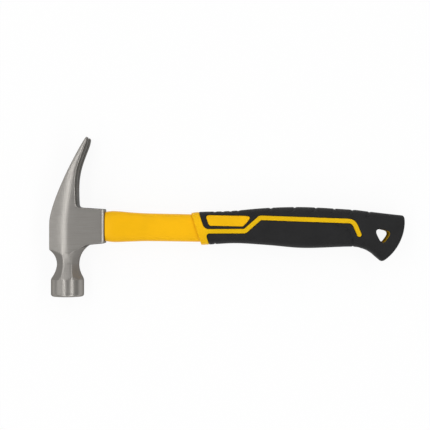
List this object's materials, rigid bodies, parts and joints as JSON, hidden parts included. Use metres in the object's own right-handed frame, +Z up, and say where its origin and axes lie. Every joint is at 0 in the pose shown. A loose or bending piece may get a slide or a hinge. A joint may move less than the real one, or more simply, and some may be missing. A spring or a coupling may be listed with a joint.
{
  "type": "claw hammer",
  "caption": "Straight-claw hammer with a forged steel head, an octagonal neck, a jacketed fibreglass shaft and a two-shot soft grip with a hang hole.",
  "frame": {"origin": "on the surface that the hammer lies on, under the middle of its outline", "axes": "+X along the handle towards the butt, +Y along the head towards the claw, +Z up through the thickness"},
  "size_m": [0.3174, 0.1432, 0.0328],
  "materials": {
    "forged_steel": "satin ground forged steel",
    "fibreglass": "pultruded fibreglass, pale and matt",
    "epoxy": "cast amber-brown resin",
    "jacket_plastic": "moulded yellow plastic with a satin gloss",
    "sleeve_plastic": "moulded yellow plastic with a satin gloss",
    "soft_grip": "soft black overmoulded rubber with a fine matt grain"
  },
  "bodies": {
    "root": {"hammer_head": "forged_steel", "fibreglass_core": "fibreglass", "epoxy_bond": "epoxy", "shaft_jacket": "jacket_plastic", "grip_sleeve": "sleeve_plastic", "grip_overmould": "soft_grip"}
  },
  "joints": []
}
